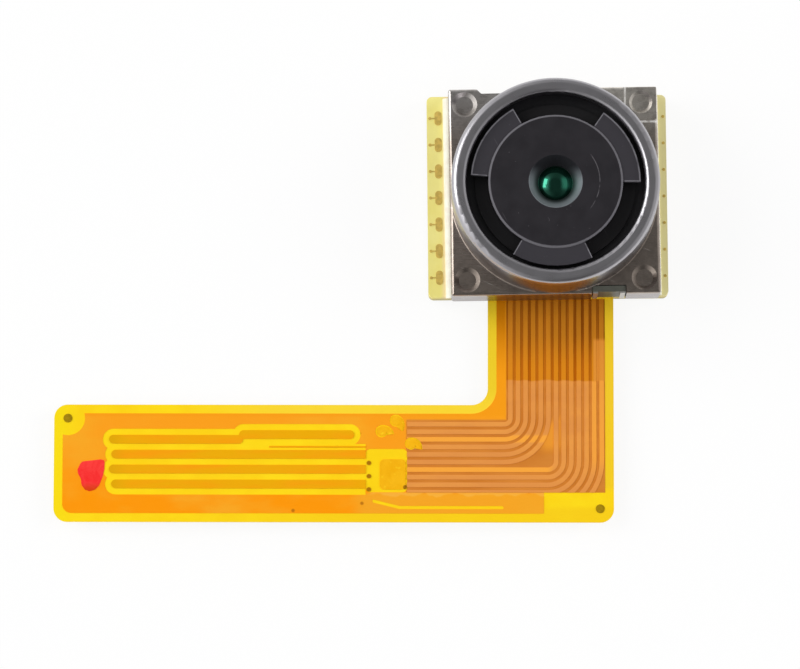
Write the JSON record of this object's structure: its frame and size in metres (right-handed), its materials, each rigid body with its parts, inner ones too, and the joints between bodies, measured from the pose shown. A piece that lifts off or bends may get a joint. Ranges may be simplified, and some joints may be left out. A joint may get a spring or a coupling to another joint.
{
  "type": "camera module",
  "caption": "Autofocus camera module: square metal can with a round collar and recessed lens, on a board with an L-shaped flexible circuit and a plug under its tail.",
  "frame": {"origin": "on the optical axis, in the flat underside of the module", "axes": "+Z out of the lens towards the subject, -Y along the neck of the flexible circuit, -X along its tail"},
  "size_m": [0.025, 0.0176, 0.0053],
  "materials": {
    "stainless_steel": "fine brushed sheet",
    "board_laminate": "satin laminate with a bare sawn edge",
    "cover_film": "clear yellow polyimide film, smooth",
    "covered_copper": "copper under yellow cover film",
    "covered_traces": "fine copper under yellow cover film",
    "covered_power": "copper under yellow cover film",
    "covered_pads": "plated pads under yellow cover film",
    "dark_copper": "dark etched dots under film",
    "red_ink": "hand-dabbed red ink",
    "board_mask": "pale yellow coverlay over laminate",
    "plated_pad": "dull gold plating",
    "silicon": "polished die with a colour filter array",
    "gold_wire": "drawn gold",
    "chip_ceramic": "fired chip ceramic with tinned ends",
    "chip_black": "ground black silicon",
    "black_moulding": "fine spark-eroded moulding",
    "filter_glass": "coated blue glass",
    "spring_bronze": "etched spring sheet",
    "plated_magnet": "nickel plated",
    "plated_can": "drawn nickel-plated sheet, fine scratches",
    "epoxy": "cured pale epoxy",
    "tinned": "tinned strip",
    "enamel_wire": "wound enamelled copper",
    "barrel_black": "matt black moulding, faint turned sheen",
    "lens_coated": "green-reflecting coating",
    "lens_clear": "polished optical plastic",
    "stop_film": "black matt film",
    "plug_moulding": "fine glass-filled moulding",
    "plated_contact": "gold-plated stamping"
  },
  "bodies": {
    "module": {"stiffener_plate": "stainless_steel", "lower_board": "board_laminate", "flex_film": "cover_film", "copper_pour": "covered_copper", "signal_traces": "covered_traces", "power_traces": "covered_power", "tail_pads": "covered_pads", "fiducials": "dark_copper", "ink_mark": "red_ink", "upper_board": "board_mask", "edge_pads": "plated_pad", "image_sensor": "silicon", "bond_wires": "gold_wire", "capacitors": "chip_ceramic", "driver_chip": "chip_black", "base_holder": "black_moulding", "ir_filter": "filter_glass", "lower_spring": "spring_bronze", "magnets": "plated_magnet", "upper_spring": "spring_bronze", "cover_ring": "black_moulding", "shield_can": "plated_can", "glue_beads": "epoxy", "terminals": "tinned", "plug_housing": "plug_moulding", "plug_contacts": "plated_contact", "plug_tabs": "tinned"},
    "lens_carriage": {"lens_carrier": "black_moulding", "voice_coil": "enamel_wire", "lens_barrel": "barrel_black", "lens_1": "lens_coated", "lens_2": "lens_clear", "lens_3": "lens_clear", "lens_4": "lens_clear", "light_stops": "stop_film", "retaining_ring": "black_moulding"}
  },
  "joints": [
    {"name": "focus", "type": "slide", "parent": "module", "child": "lens_carriage", "axis": [0, 0, 1], "range_m": [0, 0.0003], "stiffness_N_per_m": 50, "deforming": ["lower_spring", "upper_spring"]}
  ]
}
